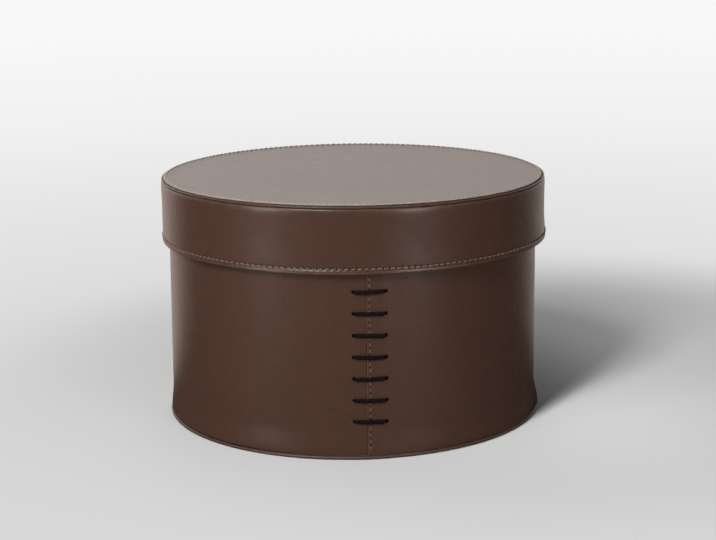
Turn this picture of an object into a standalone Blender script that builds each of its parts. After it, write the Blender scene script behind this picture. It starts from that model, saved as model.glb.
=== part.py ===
# Round leather storage box with a deep lift-off lid.
# Metres, +Z up. The origin is the middle of the underside, and -Y is the laced front.

import math

import bmesh
import bpy
from mathutils import Matrix, Vector

# Driving sizes of the whole box
BOX_HEIGHT = 0.200
LID_RADIUS = 0.160            # over the piping round the top
LID_DEPTH = 0.052             # from the lid's lower edge to the crown of its piping

# Sheets and boards
LEATHER = 0.0016
LINING = 0.0008
LID_BOARD = 0.0016            # round the lid's side
TOP_BOARD = 0.0030
BASE_BOARD = 0.0030
SEAT_GAP = 0.0003             # between pieces that lie on each other
RUNNING_GAP = 0.0003          # between the lid's lining and the most proud thread that it passes
EDGE_ROUND = 0.0008           # radius of a turned or burnished edge
TURNED_LIP = 0.0080           # how far a turned edge of leather reaches back along the inside

# Piping, a covered cord sewn into the top edge of the lid and the bottom edge of the body
PIPING_RADIUS = 0.0013
PIPING_PROUD = 0.0010         # how far it stands out past the lid's side
TOP_SINK = 0.0004             # how far the top's leather lies below its crown

# Thread, laid in a groove
THREAD_WIDTH = 0.0008
THREAD_THICKNESS = 0.0006
THREAD_PROUD = 0.0003         # how far it stands out of its groove
GROOVE_SLOPE = 0.0002         # how far each wall of the groove leans
EDGE_STITCH_INSET = 0.0042    # from a turned edge to its row of stitches
TOP_STITCH_INSET = 0.0030     # from the edge of the top's leather to its row of stitches
SEAM_STITCH_END = 0.0030      # from a row round the box to the end of the row up the seam

# Lapped seam, where the ends of a side's leather lie over each other
LAP_SHOWN = 0.0025            # from the stitches to the edge that shows
LAP_HIDDEN = 0.0080           # from the stitches to the hidden end
LAP_NOTCH = 0.0010            # width of the groove left beside the edge that shows
LAP_ROOT = 0.0070             # how far the thin under layer is rooted in the full leather
LAP_EASE = 0.0120             # over which the upper layer comes back down to the wall
LAP_INSET = 0.0002            # how far the under layer lies inside the leather's inner face
step_share = 0.45             # rise of the upper layer, as a share of the leather
skived_share = 0.62           # thickness of the upper layer, as a share of the leather

# Flare, where the side spreads over the wider base board
HEM_FLARE = 0.0014
FLARE_TOP = 0.0280

# Laces across the front seam
LACE_RADIUS = 0.0014
LACE_REACH = 0.0134           # from the seam's stitches to the middle of a lace hole
LACE_CLEARANCE = 0.0005       # round the lace in its hole
LACE_PITCH = 0.0172
LACE_TOP_DROP = 0.0147        # from the lid's lower edge to the middle of the highest lace
LACE_LOW_RISE = 0.0008        # from the top of the flare to the underside of the lowest lace
HOLE_BORDER = 0.0007          # plain leather kept round a lace hole before the next fold line

CUT_OVERRUN = 0.0020          # how far a cutter passes through what it cuts
MERGE_DISTANCE = 0.000001

# Counts and angles
SIDES = 64                    # flats round every turned piece
PIPING_SIDES = 8
HOLE_SIDES = 12
BEND_POINTS = 4
FRONT = math.radians(-90)
BACK = math.radians(90)
SHARP_ANGLE = math.radians(35)

# The lid's side, from the outside in
lid_side_radius = LID_RADIUS - PIPING_PROUD
lid_board_outer = lid_side_radius - LEATHER - SEAT_GAP
lid_board_inner = lid_board_outer - LID_BOARD
lid_lining_outer = lid_board_inner - SEAT_GAP
lid_lining_inner = lid_lining_outer - LINING

# The body's side. The lid's lining passes over the lapped seam and its thread.
lap_step = LEATHER * step_share
lap_skived = LEATHER * skived_share
body_radius = lid_lining_inner - RUNNING_GAP - THREAD_PROUD - lap_step
body_board = 2 * LACE_RADIUS  # the laces' inner runs lie between the board's two ends
body_board_outer = body_radius - LEATHER - SEAT_GAP
body_board_inner = body_board_outer - body_board
body_lining_outer = body_board_inner - SEAT_GAP
body_lining_inner = body_lining_outer - LINING

# Heights in the lid, from the top down
lid_piping_z = BOX_HEIGHT - PIPING_RADIUS
lid_piping_ring = LID_RADIUS - PIPING_RADIUS
lid_side_top = BOX_HEIGHT - 2 * PIPING_RADIUS - SEAT_GAP
lid_edge_z = BOX_HEIGHT - LID_DEPTH
top_radius = lid_piping_ring - PIPING_RADIUS - SEAT_GAP
top_leather_z = BOX_HEIGHT - TOP_SINK
top_board_z = top_leather_z - LEATHER - SEAT_GAP
top_lining_z = top_board_z - TOP_BOARD - SEAT_GAP
lid_lining_top = top_lining_z - LINING - SEAT_GAP

# Heights in the body, from the floor up
base_board_z = LEATHER + SEAT_GAP
base_board_top = base_board_z + BASE_BOARD
base_lining_z = base_board_top + SEAT_GAP
body_lining_z = base_lining_z + LINING + SEAT_GAP
body_rim_z = top_lining_z - LINING - SEAT_GAP
body_piping_z = SEAT_GAP + PIPING_RADIUS
hem_z = body_piping_z + PIPING_RADIUS + SEAT_GAP
base_radius = body_radius - LEATHER + HEM_FLARE - SEAT_GAP
body_piping_ring = base_radius + SEAT_GAP + PIPING_RADIUS

# Rows of stitches
groove_depth = THREAD_THICKNESS + SEAT_GAP - THREAD_PROUD
groove_half = THREAD_WIDTH / 2 + SEAT_GAP
body_stitch_z = body_rim_z - EDGE_STITCH_INSET
lid_stitch_z = lid_edge_z + EDGE_STITCH_INSET
top_stitch_radius = top_radius - TOP_STITCH_INSET

# Laces, evenly spread from the top of the flare to the lid's lower edge
lace_lowest = FLARE_TOP + LACE_RADIUS + LACE_LOW_RISE
lace_span = lid_edge_z - LACE_TOP_DROP - lace_lowest
lace_gaps = max(round(lace_span / LACE_PITCH), 0)
lace_heights = [lace_lowest + lace_span * k / max(lace_gaps, 1) for k in range(lace_gaps + 1)]
hole_radius = LACE_RADIUS + LACE_CLEARANCE
hole_zone = hole_radius + HOLE_BORDER
board_joint_half = LACE_REACH + hole_radius

# Looks: base colour and roughness
LEATHER_LOOK = ((0.075, 0.042, 0.028), 0.45)
BOARD_LOOK = ((0.28, 0.20, 0.13), 0.85)
SUEDE_LOOK = ((0.21, 0.135, 0.085), 0.95)
THREAD_LOOK = ((0.52, 0.36, 0.25), 0.70)
LACE_LOOK = ((0.013, 0.009, 0.008), 0.50)


def clear_scene():
    for obj in list(bpy.data.objects):
        bpy.data.objects.remove(obj, do_unlink=True)


def finish_material(name, look):
    colour, roughness = look
    material = bpy.data.materials.new(name + "_finish")
    material.use_nodes = True
    shader = material.node_tree.nodes["Principled BSDF"]
    shader.inputs["Base Color"].default_value = (*colour, 1)
    shader.inputs["Roughness"].default_value = roughness
    shader.inputs["Metallic"].default_value = 0
    return material


def add_piece(bm, name, look, parent):
    bmesh.ops.recalc_face_normals(bm, faces=bm.faces)
    mesh = bpy.data.meshes.new(name)
    bm.to_mesh(mesh)
    bm.free()
    mesh.shade_smooth()
    mesh.set_sharp_from_angle(angle=SHARP_ANGLE)
    mesh.materials.append(finish_material(name, look))
    obj = bpy.data.objects.new(name, mesh)
    bpy.context.scene.collection.objects.link(obj)
    obj.parent = parent
    return obj


def add_group(name):
    empty = bpy.data.objects.new(name, None)
    bpy.context.scene.collection.objects.link(empty)
    return empty


def make_guide(obj):
    obj.hide_render = True
    obj.display_type = "WIRE"


def cut_with(obj, tool, operation):
    make_guide(tool)
    modifier = obj.modifiers.new(operation.title(), "BOOLEAN")
    modifier.operation = operation
    modifier.solver = "EXACT"
    modifier.object = tool


def apply_cuts(obj):
    # Take the cut shape as the piece's own mesh, so that its new edges can be marked sharp
    graph = bpy.context.evaluated_depsgraph_get()
    mesh = bpy.data.meshes.new_from_object(obj.evaluated_get(graph))
    obj.modifiers.clear()
    obj.data = mesh
    mesh.shade_smooth()
    mesh.set_sharp_from_angle(angle=SHARP_ANGLE)


def at(angle, radius, z):
    return Vector((radius * math.cos(angle), radius * math.sin(angle), z))


def arc(centre_r, centre_z, radius, start, end, steps):
    # Points of an arc in the plane of radius and height, angles in degrees from straight out
    angles = [math.radians(start + (end - start) * k / steps) for k in range(steps + 1)]
    return [(centre_r + radius * math.cos(a), centre_z + radius * math.sin(a)) for a in angles]


def turned(name, outline, closed, look, parent):
    # An outline of (radius, height) points spun round Z. An open outline starts and ends on the axis.
    bm = bmesh.new()
    verts = [bm.verts.new((r, 0, z)) for r, z in outline]
    pairs = list(zip(verts, verts[1:]))
    if closed:
        pairs.append((verts[-1], verts[0]))
    edges = [bm.edges.new(pair) for pair in pairs]
    bmesh.ops.spin(bm, geom=verts + edges, cent=(0, 0, 0), axis=(0, 0, 1),
                   angle=math.tau, steps=SIDES, use_merge=True)
    bmesh.ops.remove_doubles(bm, verts=bm.verts, dist=MERGE_DISTANCE)
    return add_piece(bm, name, look, parent)


def ring_outline(inner, outer, low, high):
    return [(inner, low), (outer, low), (outer, high), (inner, high)]


def disc_outline(radius, low, high):
    return [(0, low), (radius, low), (radius, high), (0, high)]


def lofted(name, sections, closed, look, parent):
    # Sections with as many points each, joined one to the next. An open run gets a face at both ends.
    bm = bmesh.new()
    rows = [[bm.verts.new(point) for point in section] for section in sections]
    runs = list(zip(rows, rows[1:]))
    if closed:
        runs.append((rows[-1], rows[0]))
    for one, other in runs:
        for k in range(len(one)):
            bm.faces.new((one[k - 1], one[k], other[k], other[k - 1]))
    if not closed:
        bm.faces.new(rows[0])
        bm.faces.new(rows[-1])
    return add_piece(bm, name, look, parent)


def ease(t):
    t = min(max(t, 0), 1)
    return t * t * (3 - 2 * t)


def body_flare(z):
    return HEM_FLARE * ease((FLARE_TOP - z) / (FLARE_TOP - base_lining_z))


def no_flare(z):
    return 0


def flare_levels():
    rise = FLARE_TOP - base_lining_z
    return [hem_z] + [base_lining_z + rise * k / 3 for k in range(4)]


# A leather side: its wall, its plain and turned edges, the lip behind the turned edge, its row of stitches
# and the way that it spreads
BODY_SIDE = {
    "radius": body_radius, "seam": FRONT, "plain_z": hem_z, "turned_z": body_rim_z,
    "stitch_z": body_stitch_z, "lip_inner": body_lining_inner, "lip_outer": body_lining_outer,
    "levels": flare_levels(), "flare": body_flare,
}
LID_SIDE = {
    "radius": lid_side_radius, "seam": BACK, "plain_z": lid_side_top, "turned_z": lid_edge_z,
    "stitch_z": lid_stitch_z, "lip_inner": lid_lining_inner, "lip_outer": lid_lining_outer,
    "levels": [lid_side_top], "flare": no_flare,
}


def lap_rise(s):
    # How far the leather's outer face is lifted, s metres past the seam's stitches
    return lap_step * (1 - ease((s - LAP_HIDDEN - LAP_NOTCH) / LAP_EASE))


def lap_thickness(s):
    return LEATHER - (LEATHER - lap_skived) * (1 - ease((s - LAP_HIDDEN - LAP_NOTCH) / LAP_EASE))


def flat_angles():
    # The corners of the flats of every turned piece, measured from a seam
    return [math.tau * k / SIDES for k in range(SIDES)]


def side_angles(side):
    # Angles from the seam: close together over the lap and the lace holes, then at every flat of the turned
    # pieces, and on both sides of the lace holes again at the far end of the sheet
    radius = side["radius"]
    lap_end = LAP_HIDDEN + LAP_NOTCH
    lap = [-LAP_SHOWN, lap_end / 2, lap_end, lap_end + LAP_EASE, LACE_REACH - hole_zone, LACE_REACH + hole_zone]
    near = sorted(s / radius for s in lap)
    last = math.tau - (LAP_SHOWN + LAP_NOTCH) / radius
    beside = [math.tau - (LACE_REACH + hole_zone) / radius, math.tau - (LACE_REACH - hole_zone) / radius]
    around = [a for a in flat_angles() if near[-1] < a < beside[0]]
    return near + around + [a for a in beside if a < last] + [last]


def side_outline(side, outer, inner):
    # The leather seen end on: up the outside from the plain edge, over the turned edge, round the lip, and back
    up = 1 if side["turned_z"] > side["plain_z"] else -1
    r_out = side["radius"] + outer
    r_in = side["radius"] + inner
    flare = side["flare"]
    turned_z = side["turned_z"]
    stitch_z = side["stitch_z"]
    lip_z = turned_z - up * TURNED_LIP
    under_z = turned_z - up * LEATHER
    shoulder_z = turned_z - up * EDGE_ROUND
    points = [(r_out + flare(z), z) for z in side["levels"]]
    points += [(r_out, stitch_z - up * (groove_half + GROOVE_SLOPE)),
               (r_out - groove_depth, stitch_z - up * groove_half),
               (r_out - groove_depth, stitch_z + up * groove_half),
               (r_out, stitch_z + up * (groove_half + GROOVE_SLOPE))]
    points += arc(r_out - EDGE_ROUND, shoulder_z, EDGE_ROUND, 0, up * 90, 2)
    points += arc(side["lip_inner"] + EDGE_ROUND, shoulder_z, EDGE_ROUND, up * 90, up * 180, 2)
    points += [(side["lip_inner"], lip_z), (side["lip_outer"], lip_z),
               (side["lip_outer"], under_z), (r_in, under_z)]
    points += [(r_in + flare(z), z) for z in reversed(side["levels"])]
    return points


def place_section(side, angle, outline):
    return [at(side["seam"] + angle, r, z) for r, z in outline]


def tongue_outline(side):
    # The skived under layer, which lies inside the leather where it is rooted
    up = 1 if side["turned_z"] > side["plain_z"] else -1
    flare = side["flare"]
    outer = side["radius"] + lap_step - lap_skived - SEAT_GAP
    inner = side["radius"] - LEATHER + LAP_INSET
    first_z = side["plain_z"] + up * SEAT_GAP
    last_z = side["turned_z"] - up * (LEATHER + SEAT_GAP)
    levels = [first_z] + side["levels"][1:] + [last_z]
    return ([(outer + flare(z), z) for z in levels] + [(inner + flare(z), z) for z in reversed(levels)])


def make_side(name, side, parent):
    # One sheet of leather bent round the wall, its ends lapped at the seam
    sections = []
    for angle in side_angles(side):
        s = angle * side["radius"]
        rise = lap_rise(s)
        outline = side_outline(side, rise, rise - lap_thickness(s))
        sections.append(place_section(side, angle, outline))
    leather = lofted(name, sections, False, LEATHER_LOOK, parent)
    root = -(LAP_SHOWN + LAP_NOTCH + LAP_ROOT)
    places = [root, (root + LAP_HIDDEN) / 2, LAP_HIDDEN]
    outline = tongue_outline(side)
    tongue = lofted(name + "_under_layer", [place_section(side, s / side["radius"], outline) for s in places],
                    False, LEATHER_LOOK, parent)
    cut_with(leather, tongue, "UNION")
    return leather


def seam_levels(side):
    # Heights along the stitches of the seam, from the plain edge to just short of the row round the box
    up = 1 if side["turned_z"] > side["plain_z"] else -1
    first = side["plain_z"] + up * SEAM_STITCH_END
    last = side["stitch_z"] - up * SEAM_STITCH_END
    between = [z for z in side["levels"] if (z - first) * up > 0]
    return [first] + between + [last]


def seam_bar(name, side, half_width, low, high, extra, parent):
    # A straight bar up the seam, from low to high off the wall, and longer by extra at both ends
    levels = seam_levels(side)
    up = 1 if levels[-1] > levels[0] else -1
    levels[0] -= up * extra
    levels[-1] += up * extra
    sections = []
    for z in levels:
        radius = side["radius"] + side["flare"](z)
        corners = [(-half_width, low), (half_width, low), (half_width, high), (-half_width, high)]
        sections.append([at(side["seam"] + s / side["radius"], radius + rise, z) for s, rise in corners])
    return lofted(name, sections, False, THREAD_LOOK, parent)


def make_seam(name, side, leather, parent):
    # The row of stitches up the seam, and the groove that it lies in
    floor = lap_step - groove_depth
    groove = seam_bar(name + "_groove", side, groove_half, floor, lap_step + CUT_OVERRUN, SEAT_GAP, parent)
    cut_with(leather, groove, "DIFFERENCE")
    seam_bar(name, side, THREAD_WIDTH / 2, floor + SEAT_GAP, lap_step + THREAD_PROUD, 0, parent)


def make_row(name, side, parent):
    # The row of stitches round a side. It steps up with the lapped seam.
    half = THREAD_WIDTH / 2
    z = side["stitch_z"]
    sections = []
    for angle in side_angles(side):
        radius = side["radius"] + lap_rise(angle * side["radius"]) + THREAD_PROUD
        outline = ring_outline(radius - THREAD_THICKNESS, radius, z - half, z + half)
        sections.append(place_section(side, angle, outline))
    lofted(name, sections, True, THREAD_LOOK, parent)


def make_piping(name, ring_radius, z, parent):
    outline = arc(ring_radius, z, PIPING_RADIUS, 0, 360, PIPING_SIDES)[:-1]
    turned(name, outline, True, LEATHER_LOOK, parent)


def lace_route(z):
    # A closed loop through the two holes of one lace: over the seam outside, back between the board's ends
    inside = -(LEATHER + SEAT_GAP + LACE_RADIUS)
    left = SEAT_GAP + LACE_RADIUS
    right = lap_step + left
    crest = right + THREAD_PROUD
    left_bend = (left - inside) / 2
    right_bend = (right - inside) / 2
    start = LACE_REACH - right_bend
    end = LACE_REACH - left_bend
    route = [(-end, left), (-(end + LAP_SHOWN) / 2, (left + right) / 2), (-LAP_SHOWN, crest), (0, crest),
             (LAP_SHOWN, crest), (start, right)]
    for k in range(1, BEND_POINTS + 1):
        turn = math.pi * k / (BEND_POINTS + 1)
        route.append((start + right_bend * math.sin(turn), inside + right_bend * (1 + math.cos(turn))))
    route += [(start, inside), (start / 2, inside), (0, inside), (-end / 2, inside), (-end, inside)]
    for k in range(1, BEND_POINTS + 1):
        turn = math.pi * k / (BEND_POINTS + 1)
        route.append((-end - left_bend * math.sin(turn), inside + left_bend * (1 - math.cos(turn))))
    return [at(FRONT + s / body_radius, body_radius + rise, z) for s, rise in route]


def make_lace(name, z, parent):
    route = lace_route(z)
    curve = bpy.data.curves.new(name, "CURVE")
    curve.dimensions = "3D"
    curve.bevel_depth = LACE_RADIUS
    curve.bevel_resolution = 2
    spline = curve.splines.new("POLY")
    spline.points.add(len(route) - 1)
    for point, place in zip(spline.points, route):
        point.co = (*place, 1)
    spline.use_cyclic_u = True
    spline.use_smooth = True
    curve.materials.append(finish_material(name, LACE_LOOK))
    obj = bpy.data.objects.new(name, curve)
    bpy.context.scene.collection.objects.link(obj)
    obj.parent = parent


def punch_lace_holes(leather, parent):
    # Two round holes for each lace, square to the wall
    bm = bmesh.new()
    depth = LEATHER + lap_step + 2 * CUT_OVERRUN
    middle = body_radius + (lap_step - LEATHER) / 2
    for z in lace_heights:
        for s in (-LACE_REACH, LACE_REACH):
            angle = FRONT + s / body_radius
            placing = (Matrix.Translation(at(angle, middle, z)) @ Matrix.Rotation(angle, 4, "Z")
                       @ Matrix.Rotation(math.radians(90), 4, "Y"))
            bmesh.ops.create_cone(bm, cap_ends=True, segments=HOLE_SIDES, radius1=hole_radius,
                                  radius2=hole_radius, depth=depth, matrix=placing)
    punch = add_piece(bm, "lace_hole_punch", LACE_LOOK, parent)
    cut_with(leather, punch, "DIFFERENCE")


def make_body_board(parent):
    # The board's two ends stop short of the laces on both sides of the seam
    outline = ring_outline(body_board_inner, body_board_outer, base_lining_z, body_rim_z - LEATHER - SEAT_GAP)
    end = board_joint_half / body_board_outer
    around = [a for a in flat_angles() if end < a < math.tau - end]
    angles = [end] + around + [math.tau - end]
    sections = [place_section(BODY_SIDE, angle, outline) for angle in angles]
    lofted("body_wall_board", sections, False, BOARD_LOOK, parent)


def make_body(parent):
    turned("base_leather", disc_outline(base_radius, 0, LEATHER), False, LEATHER_LOOK, parent)
    turned("base_board", disc_outline(base_radius, base_board_z, base_board_top), False, BOARD_LOOK, parent)
    turned("base_lining", disc_outline(body_lining_outer, base_lining_z, base_lining_z + LINING),
           False, SUEDE_LOOK, parent)
    make_piping("base_piping", body_piping_ring, body_piping_z, parent)
    leather = make_side("body_wall_leather", BODY_SIDE, parent)
    make_seam("body_seam_thread", BODY_SIDE, leather, parent)
    punch_lace_holes(leather, parent)
    apply_cuts(leather)
    make_body_board(parent)
    lining_top = body_rim_z - TURNED_LIP - SEAT_GAP
    turned("body_wall_lining", ring_outline(body_lining_inner, body_lining_outer, body_lining_z, lining_top),
           True, SUEDE_LOOK, parent)
    make_row("body_rim_thread", BODY_SIDE, parent)
    for number, z in enumerate(reversed(lace_heights), start=1):
        make_lace("seam_lace_%d" % number, z, parent)


def make_lid_top(parent):
    # The top's leather has a rounded edge and a groove for its row of stitches
    low = top_leather_z - LEATHER
    outline = [(0, low), (top_radius, low)]
    outline += arc(top_radius - EDGE_ROUND, top_leather_z - EDGE_ROUND, EDGE_ROUND, 0, 90, 2)
    outline += [(top_stitch_radius + groove_half + GROOVE_SLOPE, top_leather_z),
                (top_stitch_radius + groove_half, top_leather_z - groove_depth),
                (top_stitch_radius - groove_half, top_leather_z - groove_depth),
                (top_stitch_radius - groove_half - GROOVE_SLOPE, top_leather_z),
                (0, top_leather_z)]
    turned("lid_top_leather", outline, False, LEATHER_LOOK, parent)
    turned("lid_top_board", disc_outline(top_radius, top_board_z - TOP_BOARD, top_board_z),
           False, BOARD_LOOK, parent)
    turned("lid_top_lining", disc_outline(lid_lining_outer, top_lining_z - LINING, top_lining_z),
           False, SUEDE_LOOK, parent)
    half = THREAD_WIDTH / 2
    crown = top_leather_z + THREAD_PROUD
    turned("lid_top_thread", ring_outline(top_stitch_radius - half, top_stitch_radius + half,
                                          crown - THREAD_THICKNESS, crown), True, THREAD_LOOK, parent)


def make_lid(parent):
    make_lid_top(parent)
    make_piping("lid_piping", lid_piping_ring, lid_piping_z, parent)
    leather = make_side("lid_side_leather", LID_SIDE, parent)
    make_seam("lid_seam_thread", LID_SIDE, leather, parent)
    apply_cuts(leather)
    board_low = lid_edge_z + LEATHER + SEAT_GAP
    turned("lid_side_board", ring_outline(lid_board_inner, lid_board_outer, board_low, top_lining_z),
           True, BOARD_LOOK, parent)
    lining_low = lid_edge_z + TURNED_LIP + SEAT_GAP
    turned("lid_side_lining", ring_outline(lid_lining_inner, lid_lining_outer, lining_low, lid_lining_top),
           True, SUEDE_LOOK, parent)
    make_row("lid_edge_thread", LID_SIDE, parent)


clear_scene()
make_body(add_group("body_assembly"))
make_lid(add_group("lid_assembly"))
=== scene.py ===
# Round leather storage box: the finish of every surface, its sewing and its laces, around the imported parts.
import math
import random

import bmesh
import bpy
import numpy as np
from mathutils import Matrix, Vector


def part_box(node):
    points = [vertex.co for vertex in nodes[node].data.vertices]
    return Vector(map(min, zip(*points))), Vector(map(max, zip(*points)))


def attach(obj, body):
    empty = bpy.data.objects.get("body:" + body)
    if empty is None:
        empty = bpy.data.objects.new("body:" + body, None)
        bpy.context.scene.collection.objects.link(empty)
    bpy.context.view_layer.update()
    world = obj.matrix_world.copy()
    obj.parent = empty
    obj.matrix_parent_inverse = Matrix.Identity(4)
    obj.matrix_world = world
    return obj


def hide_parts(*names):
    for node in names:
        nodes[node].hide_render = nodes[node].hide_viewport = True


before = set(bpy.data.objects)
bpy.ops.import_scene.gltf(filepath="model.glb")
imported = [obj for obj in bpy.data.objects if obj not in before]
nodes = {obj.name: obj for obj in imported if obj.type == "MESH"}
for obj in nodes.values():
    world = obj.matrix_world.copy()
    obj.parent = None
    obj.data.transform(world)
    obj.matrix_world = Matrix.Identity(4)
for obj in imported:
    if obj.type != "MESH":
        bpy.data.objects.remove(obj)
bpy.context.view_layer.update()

mm = 0.001


def low(node):
    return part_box(node)[0]


def high(node):
    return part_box(node)[1]


def midZ(node):
    return (low(node).z + high(node).z) / 2


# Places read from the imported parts, in metres
threadProud = 0.3 * mm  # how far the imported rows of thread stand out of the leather
place = {
    "lidSide": high("lid_edge_thread").x - threadProud,
    "lidTop": high("lid_top_leather").z,
    "bodySide": high("body_rim_thread").x - threadProud,
    "leather": high("base_leather").z,  # its thickness
    "lining": 0.8 * mm,
}
print("stage: frame read")


# Meshes

def linkObject(name, data):
    obj = bpy.data.objects.new(name, data)
    bpy.context.scene.collection.objects.link(obj)
    return obj


def makeObject(name, verts, faces, material, maps=None, wearAndSheen=None, turns=0):
    # Maps are named pairs of numbers for each point; turns is where a map that goes right round starts again
    mesh = bpy.data.meshes.new(name)
    mesh.from_pydata([tuple(v) for v in verts], [], faces)
    mesh.update()
    if wearAndSheen is not None:
        sheenAndWear = np.asarray(wearAndSheen, np.float32).ravel()
        mesh.attributes.new("wearAndSheen", "FLOAT", "POINT").data.foreach_set("value", sheenAndWear)
    for mapName, pairs in (maps or {}).items():
        layer = mesh.uv_layers.new(name=mapName)
        corners = np.zeros(len(mesh.loops), np.int32)
        mesh.loops.foreach_get("vertex_index", corners)
        values = np.asarray(pairs, np.float32)[corners]
        if turns:
            joinMap(mesh, values, turns)
        layer.data.foreach_set("uv", values.ravel())
    mesh.materials.append(material)
    bm = bmesh.new()
    bm.from_mesh(mesh)
    bmesh.ops.recalc_face_normals(bm, faces=bm.faces)
    bm.to_mesh(mesh)
    bm.free()
    shadeSmooth(mesh)
    return linkObject(name, mesh)


def joinMap(mesh, values, turns):
    # A face that bridges the end and the start of a full turn counts on past the end
    for face in mesh.polygons:
        mine = values[face.loop_start:face.loop_start + face.loop_total]
        if mine[:, 0].max() - mine[:, 0].min() > turns / 2:
            mine[mine[:, 0] < turns / 2, 0] += turns


def shadeSmooth(mesh):
    sharpAngle = 50
    mesh.shade_smooth()
    mesh.set_sharp_from_angle(angle=math.radians(sharpAngle))


def dress(obj, body, node):
    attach(obj, body)
    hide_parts(node)


def gridFaces(columns, rows, closedColumns, closedRows):
    # Quads over a grid whose vertex (i, j) is number i * rows + j
    faces = []
    for i in range(columns if closedColumns else columns - 1):
        nextI = (i + 1) % columns
        for j in range(rows if closedRows else rows - 1):
            nextJ = (j + 1) % rows
            faces.append((i * rows + j, nextI * rows + j, nextI * rows + nextJ, i * rows + nextJ))
    return faces


def discFaces(columns, rows):
    # A closed disc: the grid, and fans round the two middle points that come after its vertices
    faces = gridFaces(columns, rows, True, False)
    for i in range(columns):
        nextI = (i + 1) % columns
        faces.append((columns * rows, i * rows, nextI * rows))
        faces.append((columns * rows + 1, nextI * rows + rows - 1, i * rows + rows - 1))
    return faces


def ease(t):
    t = np.clip(t, 0, 1)
    return t * t * (3 - 2 * t)


def bump(distance, width):
    # 1 at no distance, falling smoothly to 0 at the width
    return 1 - ease(np.abs(distance) / width)


def towards(angle, heading, power=2):
    # 1 on the side of the box that faces the heading, falling to 0 a quarter turn away
    return np.clip(np.cos(angle - math.radians(heading)), 0, 1) ** power


def smoothNoise(angle, seed, waves):
    # An even wander round the box, about -1 to 1, that meets itself after a full turn
    rng = np.random.default_rng(seed)
    total = np.zeros_like(angle)
    for wave in waves:
        total = total + rng.uniform(0.4, 1.0) * np.cos(wave * angle + rng.uniform(0, math.tau))
    return total / (0.7 * len(waves))


def cylinderPoint(angle, radius, z):
    x, y = radius * np.cos(angle), radius * np.sin(angle)
    return np.stack([x, y, np.broadcast_to(z, np.shape(radius))], -1)


def fullTurn(count):
    return math.tau * np.arange(count) / count


def stepped(*runs):
    # Values from several (start, end, step) runs, merged in order
    values = [np.linspace(a, b, max(int(round(abs(b - a) / step)), 1) + 1) for a, b, step in runs]
    return np.unique(np.round(np.concatenate(values), 7))


def thinned(levels, gap):
    # Levels that lie too close to the one before are left out
    kept = [levels[0]]
    for z in levels[1:]:
        if abs(z - kept[-1]) > gap:
            kept.append(z)
    return kept


# Shader groups

def isSocket(value):
    return isinstance(value, bpy.types.NodeSocket)


def feed(node, inputs):
    # Each input takes a link from a socket, or a plain value
    for key, value in inputs.items():
        if isSocket(value):
            node.id_data.links.new(value, node.inputs[key])
        else:
            node.inputs[key].default_value = value


def addNode(tree, kind, inputs=None, **settings):
    node = tree.nodes.new("ShaderNode" + kind)
    for key, value in settings.items():
        setattr(node, key, value)
    feed(node, inputs or {})
    return node


def follow(kind, inputs, **settings):
    # A node in the tree that its inputs come from
    tree = next(value.id_data for value in inputs.values() if isSocket(value))
    return addNode(tree, kind, inputs, **settings)


def doMath(operation, a, b=0.0, clamp=False):
    return follow("Math", {0: a, 1: b}, operation=operation, use_clamp=clamp).outputs[0]


def plus(a, b):
    return doMath("ADD", a, b)


def minus(a, b):
    return doMath("SUBTRACT", a, b)


def times(a, b):
    return doMath("MULTIPLY", a, b)


def doVector(operation, a, b=(0.0, 0.0, 0.0)):
    # A number from the operations that measure, and a vector from the others
    outputs = follow("VectorMath", {0: a, 1: b}, operation=operation).outputs
    return outputs["Value" if operation in ("DOT_PRODUCT", "DISTANCE", "LENGTH") else "Vector"]


def scaled(colour, by):
    return follow("VectorMath", {0: colour, "Scale": by}, operation="SCALE").outputs[0]


def mapRange(value, lowIn, highIn, lowOut=0.0, highOut=1.0):
    ends = {"Value": value, "From Min": lowIn, "From Max": highIn, "To Min": lowOut, "To Max": highOut}
    return follow("MapRange", ends, interpolation_type="SMOOTHSTEP").outputs["Result"]


def mixColour(factor, a, b, blend="MIX"):
    return follow("Mix", {0: factor, 6: a, 7: b}, data_type="RGBA", blend_type=blend,
                  clamp_factor=True).outputs[2]


def noise(where, scale, detail, **more):
    return follow("TexNoise", {"Vector": where, "Scale": scale, "Detail": detail, **more}).outputs


def objectPlace(tree):
    return addNode(tree, "TexCoord").outputs["Object"]


def mapParts(tree, mapName):
    where = addNode(tree, "UVMap", uv_map=mapName).outputs["UV"]
    return follow("SeparateXYZ", {0: where}).outputs


def newGroup(name, inputs, outputs):
    tree = bpy.data.node_groups.new(name, "ShaderNodeTree")
    for side, keys in (("INPUT", inputs), ("OUTPUT", outputs)):
        for key in keys:
            kind = "NodeSocketColor" if key in ("Dye", "Worn And Sheen Dye", "Color") else "NodeSocketFloat"
            tree.interface.new_socket(name=key, in_out=side, socket_type=kind)
    return tree, tree.nodes.new("NodeGroupInput").outputs, tree.nodes.new("NodeGroupOutput")


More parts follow.
